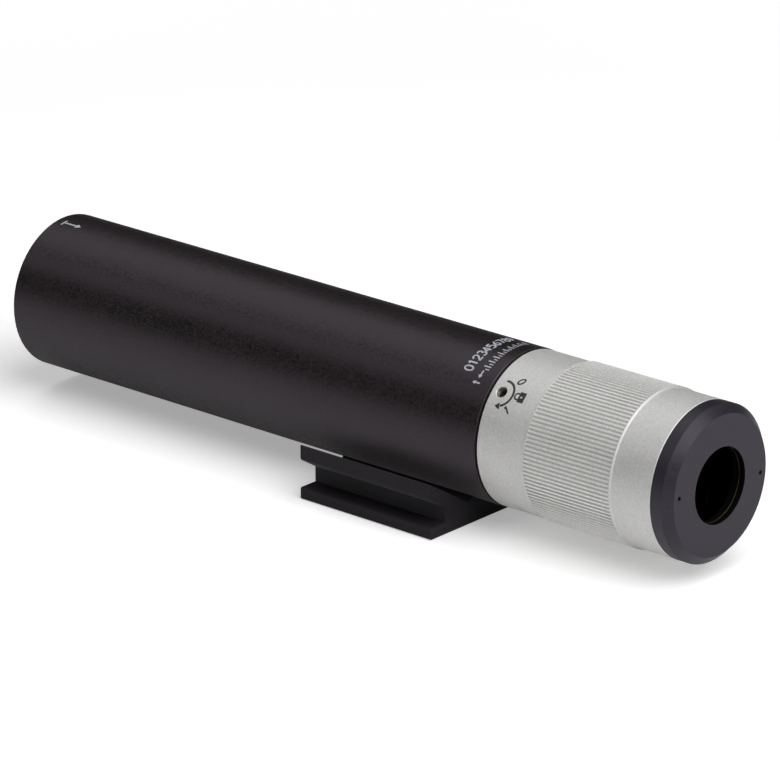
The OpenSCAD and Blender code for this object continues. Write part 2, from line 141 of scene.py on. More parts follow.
def make_mesh(name: str, grids: list[Grid], shading: Shading = Shading.SMOOTH,
              closed: bool = False) -> bpy.types.Object:
    """Writes surfaces into one mesh object that sits at the origin.

    Args:
        name: The object's name.
        grids: Surfaces, each a grid of points in metres.
        shading: Smooth or flat faces.
        closed: Whether doubles are merged and the normals turned outwards.

    Returns:
        The new object.
    """
    points = np.concatenate([g.points.reshape(-1, 3) for g in grids])
    starts = np.cumsum([0] + [g.points.shape[0] * g.points.shape[1] for g in grids[:-1]])
    quads = np.concatenate([g.quads() + s for g, s in zip(grids, starts)])
    mesh = bpy.data.meshes.new(name)
    mesh.vertices.add(len(points))
    mesh.vertices.foreach_set("co", points.astype(np.float32).ravel())
    mesh.loops.add(quads.size)
    mesh.loops.foreach_set("vertex_index", quads.astype(np.int32).ravel())
    mesh.polygons.add(len(quads))
    mesh.polygons.foreach_set("loop_start", np.arange(0, quads.size, 4, dtype=np.int32))
    mesh.update(calc_edges=True)
    if closed:
        work = bmesh.new()
        work.from_mesh(mesh)
        bmesh.ops.remove_doubles(work, verts=work.verts, dist=MERGE)
        bmesh.ops.dissolve_degenerate(work, edges=work.edges, dist=MERGE / 2)
        bmesh.ops.recalc_face_normals(work, faces=work.faces)
        work.to_mesh(mesh)
        work.free()
    mesh.polygons.foreach_set("use_smooth", [shading.value] * len(mesh.polygons))
    mesh.validate()
    piece = bpy.data.objects.new(name, mesh)
    bpy.context.scene.collection.objects.link(piece)
    return piece


def resample(path: np.ndarray, step: float) -> np.ndarray:
    """Walks along a polyline and drops a point every step of its length.

    Args:
        path: Points in rows, in mm.
        step: The longest distance between points, in mm.

    Returns:
        Points in rows, with the ends kept.
    """
    lengths = np.concatenate([[0.0], np.cumsum(np.hypot(*np.diff(path, axis=0).T))])
    count = max(2, int(np.ceil(lengths[-1] / step)) + 1)
    at = np.union1d(np.linspace(0.0, lengths[-1], count), lengths)
    return np.stack([np.interp(at, lengths, path[:, 0]), np.interp(at, lengths, path[:, 1])], 1)


def arc(centre: tuple[float, float], radius: tuple[float, float], start: float, end: float,
        count: int = 24) -> np.ndarray:
    """Points of an elliptic arc: centre plus radius times cosine and sine of the angle.

    Args:
        centre: Middle of the ellipse, in mm.
        radius: Half axes across and up, in mm.
        start: First angle, in degrees.
        end: Last angle, in degrees.
        count: Number of points.

    Returns:
        Points in rows.
    """
    turn = np.radians(np.linspace(start, end, count))
    return np.stack([centre[0] + radius[0] * np.cos(turn), centre[1] + radius[1] * np.sin(turn)], 1)


@dataclass(frozen=True)
class ArrowHead:
    """An arrow's head: its length and width, and how far it covers the shaft."""

    length: float
    width: float
    cover: float


@dataclass(frozen=True)
class MarkField:
    """A patch of a cylinder that marks are printed on. Flat x runs the way a reader reads,
    towards smaller angles, and flat y runs up the marks, towards the input end."""

    station: float
    angle: float
    radius: float
    proud: float = 0.02

    def wrap(self, flat: np.ndarray) -> np.ndarray:
        """Wraps flat points round the cylinder: the station falls by y, and the angle falls
        by x over the radius.

        Args:
            flat: Points in mm, with a last axis of length 2.

        Returns:
            Points in metres just proud of the cylinder.
        """
        turn = self.angle - np.degrees(flat[..., 0] / self.radius)
        return AXIS.place(self.station - flat[..., 1], self.radius + self.proud, turn)

    def across(self, angle: float) -> float:
        """Turns an angle round the axis into flat x: the angle's fall from the patch's middle,
        in radians, times the radius. Returns it in mm."""
        return float(np.radians(self.angle - angle) * self.radius)

    def stroke(self, path: np.ndarray, width: float | tuple[float, float],
               step: float = 0.25) -> Grid:
        """Carries a straight edge along a path, square to it: path plus or minus half the
        width times the path's left-hand normal.

        Args:
            path: Polyline in mm.
            width: Width in mm, or the widths at its start and end.
            step: Longest distance between points, in mm.

        Returns:
            The stroke's surface, facing outwards.
        """
        line = resample(np.asarray(path, float), step)
        along = np.gradient(line, axis=0)
        along /= np.linalg.norm(along, axis=1, keepdims=True) + 1e-12
        left = np.stack([-along[:, 1], along[:, 0]], 1)
        first, last = (width, width) if np.isscalar(width) else width
        half = np.linspace(first, last, len(line))[:, None] / 2
        across = np.linspace(1.0, -1.0, 3)
        flat = line[:, None, :] + left[:, None, :] * half[:, None, :] * across[None, :, None]
        return Grid(self.wrap(flat)[:, ::-1])

    def arrow(self, tail: tuple[float, float], tip: tuple[float, float], line: float,
              head: ArrowHead) -> list[Grid]:
        """A straight arrow: the head's neck is the tip less the head's length along the shaft,
        and the shaft runs a little way on under the head.

        Args:
            tail: Where the shaft starts, in mm.
            tip: The head's point, in mm.
            line: Width of the shaft, in mm.
            head: The head's sizes.

        Returns:
            The shaft's and the head's surfaces.
        """
        start, point = np.array(tail, float), np.array(tip, float)
        along = (point - start) / np.linalg.norm(point - start)
        neck = point - along * head.length
        return [self.stroke([start, neck + along * head.cover], line),
                self.stroke([neck, point], (head.width, NEEDLE))]


def digit(number: int) -> list[np.ndarray]:
    """Strokes of a plain digit in a box 0.6 wide and 1 high, with straight lines and arcs.

    Args:
        number: 0 to 9.

    Returns:
        Polylines in rows.
    """
    low, high = (0.3, 0.27), (0.3, 0.75)
    shapes = {
        0: [arc((0.3, 0.5), (0.28, 0.48), 90, 450, 36)],
        1: [np.array([[0.12, 0.8], [0.34, 0.98], [0.34, 0.0]])],
        2: [np.vstack([arc((0.3, 0.7), (0.26, 0.28), 170, -35), [[0.03, 0.02], [0.58, 0.02]]])],
        3: [arc(high, (0.22, 0.23), 150, -90), arc(low, (0.27, 0.25), 90, -150)],
        4: [np.array([[0.42, 0.0], [0.42, 0.98], [0.02, 0.3], [0.6, 0.3]])],
        5: [np.vstack([[[0.54, 0.98], [0.1, 0.98], [0.06, 0.54]],
                       arc((0.28, 0.32), (0.28, 0.3), 120, -140)])],
        6: [np.vstack([[[0.48, 0.98], [0.2, 0.7]], arc((0.3, 0.29), (0.26, 0.27), 150, 510, 36)])],
        7: [np.array([[0.02, 0.98], [0.56, 0.98], [0.2, 0.0]])],
        8: [arc(high, (0.21, 0.22), -90, 270, 32), arc(low, (0.27, 0.26), -90, 270, 32)],
        9: [np.vstack([[[0.12, 0.02], [0.4, 0.3]], arc((0.3, 0.71), (0.26, 0.27), -30, 330, 36)])],
    }
    return shapes[number]


@dataclass(frozen=True)
class HelixThread:
    """A right-hand screw thread. Its ridge stands at the points where the height over the
    pitch, less the turn, is a whole number, and falls away in straight flanks."""

    pitch: float
    root: float
    depth: float
    peak: float = 1.5
    flank: float = 3.4

    def radius(self, height: np.ndarray, turn: np.ndarray) -> np.ndarray:
        """Root radius plus the depth times a triangle wave of height over pitch less turn. The
        wave falls from its peak by the flank's slope, and is cut flat at 1 and at 0.

        Args:
            height: Distance along the thread's axis, in mm.
            turn: Angle round it, in whole turns.

        Returns:
            Radii in mm.
        """
        phase = np.mod(height / self.pitch - turn, 1.0)
        ridge = np.clip(self.peak - self.flank * np.abs(phase - 0.5), 0.0, 1.0)
        return self.root + self.depth * ridge


@dataclass(frozen=True)
class SideFrame:
    """A frame whose third direction is the axis of a hole, with its foot at a given point."""

    origin: tuple[float, float, float]
    first: tuple[float, float, float]
    second: tuple[float, float, float]
    third: tuple[float, float, float]

    @classmethod
    def radial(cls, station: float, angle: float) -> "SideFrame":
        """A hole that points straight out from the optical axis.

        Args:
            station: Its station in mm.
            angle: Its angle in degrees.

        Returns:
            The frame, with heights that are distances from the optical axis.
        """
        c, s = float(np.cos(np.radians(angle))), float(np.sin(np.radians(angle)))
        return cls((station - AXIS.foot_at, 0.0, AXIS.height), (1, 0, 0), (0, s, -c), (0, c, s))

    @classmethod
    def axial(cls) -> "SideFrame":
        """The optical axis itself, with heights that are stations. Returns the frame."""
        return cls((-AXIS.foot_at, 0.0, AXIS.height), (0, 1, 0), (0, 0, 1), (1, 0, 0))

    def place(self, radius: np.ndarray, turn: np.ndarray, height: np.ndarray) -> np.ndarray:
        """Origin plus radius times cosine and sine of the turn, plus the height.

        Args:
            radius: Distance from the hole's axis, in mm.
            turn: Angle round it, in whole turns.
            height: Distance along it, in mm.

        Returns:
            Points in metres.
        """
        radius, turn, height = np.broadcast_arrays(radius, turn, height)
        a = 2 * np.pi * turn
        flat = (radius * np.cos(a))[..., None] * np.array(self.first, float)
        flat = flat + (radius * np.sin(a))[..., None] * np.array(self.second, float)
        return (np.array(self.origin) + flat + height[..., None] * np.array(self.third, float)) * MM


# ---------------------------------------------------------------- finishes


class Graph:
    """A material's node tree with one Principled shader, and short ways to add to it."""

    def __init__(self, name: str) -> None:
        """Makes the material.

        Args:
            name: The material's name.
        """
        self.material = bpy.data.materials.new(name)
        self.material.use_nodes = True
        self.tree = self.material.node_tree
        self.tree.nodes.clear()
        self.shader = self.tree.nodes.new("ShaderNodeBsdfPrincipled")
        out = self.tree.nodes.new("ShaderNodeOutputMaterial")
        self.tree.links.new(self.shader.outputs[0], out.inputs[0])

    def set(self, **values: float | tuple) -> None:
        """Sets the shader's own sockets.

        Args:
            values: Socket names with underscores for spaces, and their values or sockets.
        """
        for key, value in values.items():
            self.feed(self.shader.inputs[key.replace("_", " ")], value)

    def feed(self, socket: bpy.types.NodeSocket, value: object) -> None:
        """Links a socket to another, or gives it a plain value.

        Args:
            socket: The input.
            value: An output socket or a value.
        """
        if isinstance(value, bpy.types.NodeSocket):
            self.tree.links.new(value, socket)
        else:
            socket.default_value = value

    def add(self, kind: str, inputs: dict, **settings: object) -> bpy.types.Node:
        """Adds a node.

        Args:
            kind: The node's type without its ShaderNode prefix.
            inputs: Its inputs by name or number.
            settings: Its own settings.

        Returns:
            The node.
        """
        node = self.tree.nodes.new("ShaderNode" + kind)
        for key, value in settings.items():
            setattr(node, key, value)
        for key, value in inputs.items():
            self.feed(node.inputs[key], value)
        return node

    def math(self, operation: str, *values: object) -> bpy.types.NodeSocket:
        """Adds a Math node.

        Args:
            operation: Blender's name for it.
            values: Its inputs in order.

        Returns:
            The result.
        """
        return self.add("Math", dict(enumerate(values)), operation=operation).outputs[0]

    def where(self) -> bpy.types.NodeSocket:
        """Adds the Object coordinates and returns them."""
        return self.add("TexCoord", {}).outputs["Object"]

    def cylinder(self) -> tuple[bpy.types.NodeSocket, bpy.types.NodeSocket, bpy.types.NodeSocket]:
        """Works out the station along the optical axis, the radius and the turn round it, in
        mm and turns, from Object coordinates.

        Returns:
            Station less the foot's station, radius, and turn.
        """
        split = self.add("SeparateXYZ", {0: self.where()})
        x = self.math("MULTIPLY", split.outputs[0], 1 / MM)
        y = self.math("MULTIPLY", split.outputs[1], 1 / MM)
        z = self.math("MULTIPLY_ADD", split.outputs[2], 1 / MM, -AXIS.height)
        square = self.math("MULTIPLY_ADD", y, y, self.math("MULTIPLY", z, z))
        turn = self.math("DIVIDE", self.math("ARCTAN2", z, y), 2 * np.pi)
        return x, self.math("SQRT", square), turn

    def round_axis(self) -> bpy.types.NodeSocket:
        """Works out the way round the optical axis, from Object coordinates: minus the height
        above the axis along Y, and the distance aside along Z.

        Returns:
            The direction.
        """
        split = self.add("SeparateXYZ", {0: self.where()})
        down = self.math("SUBTRACT", AXIS.height * MM, split.outputs[2])
        return self.add("CombineXYZ", {0: 0.0, 1: down, 2: split.outputs[1]}).outputs[0]

    def noise(self, vector: object, scale: float, detail: float = 4.0,
              rough: float = 0.55) -> bpy.types.NodeSocket:
        """Adds a Noise texture.

        Args:
            vector: Its coordinates.
            scale: Its scale.
            detail: Its octaves.
            rough: How strong the fine octaves are.

        Returns:
            The noise, about 0.5.
        """
        inputs = {"Vector": vector, "Scale": scale, "Detail": detail, "Roughness": rough}
        return self.add("TexNoise", inputs).outputs[0]

    def spread(self, value: object, low: float, high: float, to_low: float,
               to_high: float) -> bpy.types.NodeSocket:
        """Maps a range to another, kept within it.

        Args:
            value: The input.
            low: Its low end.
            high: Its high end.
            to_low: The result at the low end.
            to_high: The result at the high end.

        Returns:
            The mapped value.
        """
        return self.add("MapRange", {0: value, 1: low, 2: high, 3: to_low, 4: to_high}).outputs[0]

    def vary(self, noise: object, low: float, high: float) -> bpy.types.NodeSocket:
        """Maps the span that most of a noise lies in to a range.

        Args:
            noise: The noise.
            low: The result at the span's low end.
            high: The result at its high end.

        Returns:
            The mapped value.
        """
        return self.spread(noise, *NOISE_SPAN, low, high)

    def toned(self, colour: object, tone: object) -> bpy.types.NodeSocket:
        """Multiplies a colour by a tone.

        Args:
            colour: The colour.
            tone: The tone, about 1.

        Returns:
            The toned colour.
        """
        return self.add("VectorMath", {0: colour, "Scale": tone}, operation="SCALE").outputs[0]

    def blend(self, share: object, first: object, second: object) -> bpy.types.NodeSocket:
        """Mixes two colours.

        Args:
            share: Share of the second.
            first: A colour.
            second: A colour.

        Returns:
            The mixed colour.
        """
        # a Mix node's colours are its sockets 6 and 7 in, and 2 out
        node = self.add("Mix", {}, data_type="RGBA")
        for number, value in ((0, share), (6, first), (7, second)):
            self.feed(node.inputs[number], value)
        return node.outputs[2]

    def bump(self, height: object, distance: float, below: object = None) -> bpy.types.NodeSocket:
        """Adds a Bump node.

        Args:
            height: The height, from 0 to 1.
            distance: What a height of 1 stands for, in mm.
            below: Another bump's result to add to.

        Returns:
            The normal.
        """
        inputs = {"Height": height, "Strength": 1.0, "Distance": distance * MM}
        if below is not None:
            inputs["Normal"] = below
        return self.add("Bump", inputs).outputs[0]


def rgba(colour: tuple[float, float, float]) -> tuple[float, float, float, float]:
    """Adds a full alpha to a colour and returns it."""
    return (*colour, 1.0)


@dataclass(frozen=True)
class Rim:
    """A turned edge painted in its own colour: a painted highlight along the edge, which at
    some edges also stands for worn finish and bare metal. Its core and its raggedness are
    shares of its reach."""

    station: float
    radius: float
    reach: float
    # the default colour: a brownish painted highlight, drawn along the tube's two ends
    colour: tuple[float, float, float] = (0.12, 0.11, 0.105)
    core: float = 0.5
    ragged: float = 1.2


@dataclass(frozen=True)
class Grooves:
    """A grooved band, darker at the roots, which is painted shade, and lighter on the crests, which
    is painted highlight and wear.
    """

    low: float
    high: float
    root: float
    crest: float
    root_shade_tone: float = 0.87
    crest_highlight_and_wear_tone: float = 1.17


@dataclass(frozen=True)
class TurnedFinish:
    """Anodised metal that was turned in a lathe: fine lines run round it, and on its flat
    ends they are circles. Its colour and gloss wander a little."""

    name: str
    colour: tuple[float, float, float]
    roughness: float
    metal: float = 0.0
    mirror: float = 0.5
    tint: tuple[float, float, float] = (1.0, 1.0, 1.0)
    sweep: float = 0.0
    lines: float = 3.0
    line_depth: float = 0.0015
    fine_scale: float = 2400.0
    fine_depth: float = 0.001
    blotch_scale: float = 60.0
    wander: float = 0.18
    speck: float = 0.0
    speck_scale: float = 1400.0
    gloss_wander: float = 0.05
    # inside the bore the colour is darker and the mirror weaker: painted shade in the aperture
    bore: float = 0.0
    bore_shade_colour: tuple[float, float, float] = (0.003, 0.003, 0.003)
    bore_shade_mirror: float = 0.1
    rims: tuple[Rim, ...] = ()
    grooves: Grooves | None = None

    def turned(self, g: Graph, x: object, r: object, turn: object) -> bpy.types.NodeSocket:
        """The cutting lines: a noise of the station, the radius and the sine of the turn, so
        that its lines run round the axis.

        Args:
            g: The material's graph.
            x: Station less the foot's station.
            r: Radius.
            turn: Turn round the axis.

        Returns:
            The noise.
        """
        vector = g.add("CombineXYZ", {
            0: g.math("MULTIPLY", x, self.lines), 1: g.math("MULTIPLY", r, self.lines),
            2: g.math("SINE", g.math("MULTIPLY", turn, 2 * np.pi))}).outputs[0]
        return g.noise(vector, 1.0, 5.0, 0.7)

    def groove_shade_and_highlight(self, g: Graph, x: object, r: object) -> bpy.types.NodeSocket:
        """The grooved band's tone: from the roots' painted shade to the crests' painted highlight
        and wear by radius, and 1 elsewhere.

        Args:
            g: The material's graph.
            x: Station less the foot's station.
            r: Radius.

        Returns:
            The tone.
        """
        band = g.math("MULTIPLY", g.math("GREATER_THAN", x, self.grooves.low - AXIS.foot_at),
                      g.math("LESS_THAN", x, self.grooves.high - AXIS.foot_at))
        shade_and_highlight = g.spread(r, self.grooves.root, self.grooves.crest,
                        self.grooves.root_shade_tone - 1.0, self.grooves.crest_highlight_and_wear_tone - 1.0)
        return g.math("MULTIPLY_ADD", band, shade_and_highlight, 1.0)

    def near_rim(self, g: Graph, rim: Rim, x: object, r: object,
                 blotch: object) -> bpy.types.NodeSocket:
        """How much of a rim's painted colour shows, mostly a painted highlight: 1 within its core
        and 0 beyond its reach, by the distance from the edge with a ragged blotch added.

        Args:
            g: The material's graph.
            rim: The edge.
            x: Station less the foot's station.
            r: Radius.
            blotch: A noise.

        Returns:
            The share of the rim's painted colour.
        """
        along = g.math("POWER", g.math("ADD", x, AXIS.foot_at - rim.station), 2.0)
        away = g.math("POWER", g.math("SUBTRACT", r, rim.radius), 2.0)
        distance = g.math("SQRT", g.math("ADD", along, away))
        ragged = g.math("MULTIPLY_ADD", g.math("SUBTRACT", blotch, 0.5), rim.reach * rim.ragged,
                        distance)
        return g.spread(ragged, rim.reach * rim.core, rim.reach, 1.0, 0.0)

    def build(self) -> bpy.types.Material:
        """Makes the material. A mirror that is the same all over is set as a plain value.

        Returns:
            The material.
        """
        g = Graph(self.name)
        x, r, turn = g.cylinder()
        turned = self.turned(g, x, r, turn)
        where = g.where()
        blotch = g.noise(where, self.blotch_scale, 3.0)
        fine = g.noise(where, self.fine_scale, 2.0)
        grain = g.noise(where, self.speck_scale, 2.0, 0.6)
        tone = g.math("ADD", g.vary(blotch, -self.wander / 2, self.wander / 2),
                      g.vary(turned, 1.0 - self.wander / 2, 1.0 + self.wander / 2))
        tone = g.math("ADD", tone, g.vary(grain, -self.speck, self.speck))
        # the knurl's painted shade in its roots and painted highlight on its crests
        if self.grooves is not None:
            tone = g.math("MULTIPLY", tone, self.groove_shade_and_highlight(g, x, r))
        base, mirror = g.toned(self.colour, tone), self.mirror
        if self.speck:
            mirror = g.vary(grain, self.mirror * (1.0 - 2.0 * self.speck),
                            self.mirror * (1.0 + 2.0 * self.speck))
        # painted shade inside the bore: a darker colour and a weaker mirror
        if self.bore:
            inside = g.math("LESS_THAN", r, self.bore)
            base = g.blend(inside, base, rgba(self.bore_shade_colour))
            mirror = g.math("MULTIPLY", mirror,
                            g.math("MULTIPLY_ADD", inside, self.bore_shade_mirror - 1.0, 1.0))
        # the rims mix their painted colours, mostly painted highlights, into the base along the
        # edges
        for rim in self.rims:
            base = g.blend(self.near_rim(g, rim, x, r, blotch), base, rgba(rim.colour))
        streaks = g.math("ADD", g.math("MULTIPLY", turned, 0.6), g.math("MULTIPLY", blotch, 0.4))
        gloss = g.vary(streaks, self.roughness - self.gloss_wander,
                       self.roughness + self.gloss_wander)
        gloss = g.math("ADD", gloss, g.vary(grain, -self.speck, self.speck))
        normal = g.bump(fine, self.fine_depth, g.bump(turned, self.line_depth))
        g.set(Base_Color=base, Roughness=gloss, Metallic=self.metal, Normal=normal,
              Specular_IOR_Level=mirror, Specular_Tint=rgba(self.tint))
        if self.sweep:
            g.set(Anisotropic=self.sweep, Anisotropic_Rotation=SHEEN_TURN,
                  Tangent=g.round_axis())
        return g.material


@dataclass(frozen=True)
class ExtrudedFinish:
    """Anodised bar that was drawn through a die along X and sawn to length: fine lines run
    along its sides, and short arcs of the saw, round a middle beside the bar, cross its ends."""

    name: str
    colour: tuple[float, float, float]
    roughness: float
    lines: float = 900.0
    stretch: float = 0.006
    line_depth: float = 0.003
    saw_lines: float = 2600.0
    saw_middle: tuple[float, float] = (-0.12, 0.10)
    end_at: float = 26.7
    fine_scale: float = 2600.0
    blotch_scale: float = 70.0
    mirror: float = 0.15

    def saw(self, g: Graph, y: object, z: object) -> bpy.types.NodeSocket:
        """The saw's arcs: a noise of the distance from the saw's middle.

        Args:
            g: The material's graph.
            y: Distance aside, in metres.
            z: Height, in metres.

        Returns:
            The noise.
        """
        aside = g.math("SUBTRACT", y, self.saw_middle[0])
        up = g.math("POWER", g.math("SUBTRACT", z, self.saw_middle[1]), 2.0)
        out = g.math("SQRT", g.math("MULTIPLY_ADD", aside, aside, up))
        vector = g.add("CombineXYZ", {0: g.math("MULTIPLY", out, self.saw_lines)}).outputs[0]
        return g.noise(vector, 1.0, 3.0, 0.6)

    def build(self) -> bpy.types.Material:
        """Makes the material.

        Returns:
            The material.
        """
        g = Graph(self.name)
        where = g.where()
        stretched = g.add("Mapping", {0: where, 3: (self.stretch, 1.0, 1.0)}).outputs[0]
        drawn = g.noise(stretched, self.lines, 4.0, 0.65)
        x, y, z = g.add("SeparateXYZ", {0: where}).outputs
        beyond = g.math("GREATER_THAN", g.math("ABSOLUTE", x), self.end_at * MM)
        saw = self.saw(g, y, z)
        blotch = g.noise(where, self.blotch_scale, 3.0)
        fine = g.noise(where, self.fine_scale, 2.0)
        texture = g.add("Mix", {0: beyond, 2: drawn, 3: saw}, data_type="FLOAT").outputs[0]
        tone = g.math("ADD", g.vary(blotch, -0.1, 0.1), g.vary(texture, 0.88, 1.12))
        gloss = g.vary(texture, self.roughness - 0.05, self.roughness + 0.06)
        height = g.math("ADD", texture, g.math("MULTIPLY", fine, 0.3))
        g.set(Base_Color=g.toned(self.colour, tone), Roughness=gloss,
              Normal=g.bump(height, self.line_depth), Specular_IOR_Level=self.mirror)
        return g.material


@dataclass(frozen=True)
class PlainFinish:
    """A small part's finish: one colour that wanders, with a fine grain."""

    name: str
    colour: tuple[float, float, float]
    roughness: float
    metal: float = 0.0
    grain: float = 1500.0
    grain_depth: float = 0.001
    blotch_scale: float = 160.0
    wander: float = 0.2
    gloss_wander: float = 0.05

    def build(self) -> bpy.types.Material:
        """Makes the material.

        Returns:
            The material.
        """
        g = Graph(self.name)
        where = g.where()
        grain = g.noise(where, self.grain, 3.0)
        blotch = g.noise(where, self.blotch_scale, 3.0)
        mixed = g.math("MULTIPLY_ADD", grain, 0.5, g.math("MULTIPLY", blotch, 0.5))
        tone = g.vary(mixed, 1.0 - self.wander, 1.0 + self.wander)
        gloss = g.vary(blotch, self.roughness - self.gloss_wander,
                       self.roughness + self.gloss_wander)
        g.set(Base_Color=g.toned(self.colour, tone), Roughness=gloss, Metallic=self.metal,
              Normal=g.bump(grain, self.grain_depth))
        return g.material


@dataclass(frozen=True)
class LensFinish:
    """Polished optical glass with a thin coating that tints what it mirrors. The coating takes
    away most of the reflection, so the index is the one whose reflection is left, and the
    glass bends light less than bare glass does."""

    name: str
    # the glass's dark grey colour darkens what is seen through it: painted shade inside the
    # aperture
    colour: tuple[float, float, float] = (0.12, 0.13, 0.125)
    tint: tuple[float, float, float] = (0.06, 0.04, 0.10)
    index: float = 1.02
    dust_scale: float = 900.0
    dust_span: tuple[float, float] = (0.66, 0.85)
    dust: float = 0.02

    def build(self) -> bpy.types.Material:
        """Makes the material, with a trace of dust in its gloss.

        Returns:
            The material.
        """
        g = Graph(self.name)
        specks = g.noise(g.where(), self.dust_scale, 4.0, 0.7)
        dust = g.spread(specks, *self.dust_span, 0.0, self.dust)
        g.set(Base_Color=rgba(self.colour), Roughness=dust, IOR=self.index,
              Transmission_Weight=1.0, Specular_Tint=rgba(self.tint))
        return g.material


Finish = TurnedFinish | ExtrudedFinish | PlainFinish | LensFinish

# Stations and radii of the CAD part's turned edges, in mm.
TUBE_R, TUBE_END = 25.4, 197.8
COLLAR_R, COLLAR_START, COLLAR_END = 25.2, 198.5, 266.4
APERTURE_R, APERTURE_BACK = 12.15, 273.4 - 2.3
LOCK_AT, LOCK_ANGLE = 202.35, 135.0
KNURL = Grooves(low=217.5, high=250.9, root=25.27, crest=25.6)

SHEEN_TURN = 0.25                 # the sheen spreads along the axis, across the cutting lines
EDGE_METAL_AND_HIGHLIGHT = (0.9, 0.9, 0.89)     # bright turned edge: bare-metal colour and painted highlight
EDGE_WORN_AND_HIGHLIGHT = (0.5, 0.5, 0.48)      # black edge worn by handling, and lightened also as a painted highlight
EDGE_GLINT = (0.20, 0.17, 0.09)  # painted glint on the lip inside the aperture

FINISHES: dict[str, Finish] = {
    "black_anodised": TurnedFinish(
        "black_anodised", (0.0086, 0.0066, 0.0066), 0.53, mirror=0.57, tint=(0.99, 0.85, 1.0),
        sweep=0.6, lines=2.2, speck=0.16,
        # painted highlights along both ends of the tube, in the rims' brownish default colour
        rims=(Rim(TUBE_END, TUBE_R, 0.2), Rim(0.0, TUBE_R, 0.25))),
    "foot_anodised": ExtrudedFinish("foot_anodised", (0.0185, 0.0155, 0.0195), 0.58),
    "ring_anodised": TurnedFinish(
        "ring_anodised", (0.0185, 0.0160, 0.0245), 0.46, mirror=0.45, tint=(0.96, 0.89, 1.0),
        lines=5.0, line_depth=0.0016, speck=0.08, bore=APERTURE_R + 0.1,
        # the ring's back edge: worn finish and a painted highlight
        rims=(Rim(COLLAR_END, COLLAR_R, 0.15, EDGE_WORN_AND_HIGHLIGHT),
              # a painted glint at the back of the aperture's lip
              Rim(APERTURE_BACK, APERTURE_R, 0.3, EDGE_GLINT))),
    "inner_black": TurnedFinish(
        "inner_black", (0.003, 0.0028, 0.003), 0.9, mirror=0.03, lines=4.0, line_depth=0.004),
    "clear_anodised": TurnedFinish(
        "clear_anodised", (0.73, 0.726, 0.712), 0.58, metal=0.5, lines=4.0, line_depth=0.005,
        fine_depth=0.0016, wander=0.07, speck=0.09, grooves=KNURL,
        # bare-metal colour and painted highlights along both edges of the collar
        rims=(Rim(COLLAR_START, COLLAR_R, 0.3, EDGE_METAL_AND_HIGHLIGHT),
              Rim(COLLAR_END, COLLAR_R, 0.4, EDGE_METAL_AND_HIGHLIGHT))),
    # the tapped hole's thread is dark brown on a silver collar: painted shade inside the hole
    "tapped_hole_painted_shade": TurnedFinish("tapped_hole_painted_shade", (0.17, 0.145, 0.12), 0.42, metal=0.8, lines=6.0),
    "brass": TurnedFinish("brass", (0.45, 0.33, 0.14), 0.35, metal=0.9, lines=5.0),
    "steel": TurnedFinish("steel", (0.42, 0.42, 0.42), 0.32, metal=1.0, lines=5.0),
    "screw_black": PlainFinish("screw_black", (0.03, 0.03, 0.032), 0.4, metal=0.6),
    "rubber": PlainFinish("rubber", (0.018, 0.018, 0.019), 0.75, grain=2200.0, grain_depth=0.004),
    "coated_glass": LensFinish("coated_glass"),
}
WHITE_PRINT = PlainFinish("white_print", (0.50, 0.51, 0.58), 0.6, grain=5200.0, wander=0.22)
DARK_PRINT = PlainFinish("dark_print", (0.028, 0.028, 0.03), 0.6, grain=5200.0, wander=0.25)


@dataclass
class Finishes:
    """Every finish of the expander, made once."""

    made: dict[str, bpy.types.Material] = field(default_factory=dict)

    def get(self, name: str) -> bpy.types.Material:
        """Finds a record slot's finish.

        Args:
            name: The slot's name.

        Returns:
            The material.
        """
        return self.of(FINISHES[name])

    def of(self, finish: Finish) -> bpy.types.Material:
        """Makes a finish the first time it is asked for.

        Args:
            finish: The finish.

        Returns:
            The material.
        """
        if finish.name not in self.made:
            self.made[finish.name] = finish.build()
        return self.made[finish.name]


def seat(piece: bpy.types.Object, material: bpy.types.Material, body: Body) -> bpy.types.Object:
    """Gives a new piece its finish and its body.

    Args:
        piece: The object.
        material: Its finish.
        body: The body that it moves with.

    Returns:
        The piece.
    """
    piece.data.materials.clear()
    piece.data.materials.append(material)
    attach(piece, body.value)
    log.info("%s rides on %s", piece.name, body.value)
    return piece


# ---------------------------------------------------------------- sub-assemblies


@dataclass
class PackedNodes:
    """The CAD nodes, which keep their shapes and get finishes. The tube's satin side doesn't
    show the foot that stands close under it, so the foot is kept out of reflections."""

    nodes: dict[str, bpy.types.Object]
    record: dict
    unmirrored: str = "mounting_foot"

    def dress(self, finishes: Finishes) -> None:
        """Puts each node's finish into its material slots, and hides the foot from mirrors.

        Args:
            finishes: The finishes.
        """
        slots = {s["node"]: s["material_slot"] for s in self.record["subparts"]}
        for name, node in self.nodes.items():
            material = finishes.get(slots[name])
            for number in range(len(node.data.materials)):
                node.data.materials[number] = material
            if not node.data.materials:
                node.data.materials.append(material)
            log.info("%s wears %s", name, material.name)
        self.nodes[self.unmirrored].visible_glossy = False


@dataclass
class PrintedMarks:
    """Marks printed on a cylinder, thickened so that they are closed solids."""

    name: str
    marks: MarkField
    body: Body
    slot: str
    thickness: float = 0.04

    def strokes(self) -> list[Grid]:
        """Returns the marks' surfaces; each kind of mark has its own."""
        raise NotImplementedError

    def build(self, material: bpy.types.Material) -> bpy.types.Object:
        """Makes the piece.

        Args:
            material: The ink.

        Returns:
            The piece.
        """
        piece = make_mesh(self.name, self.strokes(), Shading.FLAT)
        solid = piece.modifiers.new("ink", "SOLIDIFY")
        solid.thickness = self.thickness * MM
        solid.offset = -1.0
        return seat(piece, material, self.body)


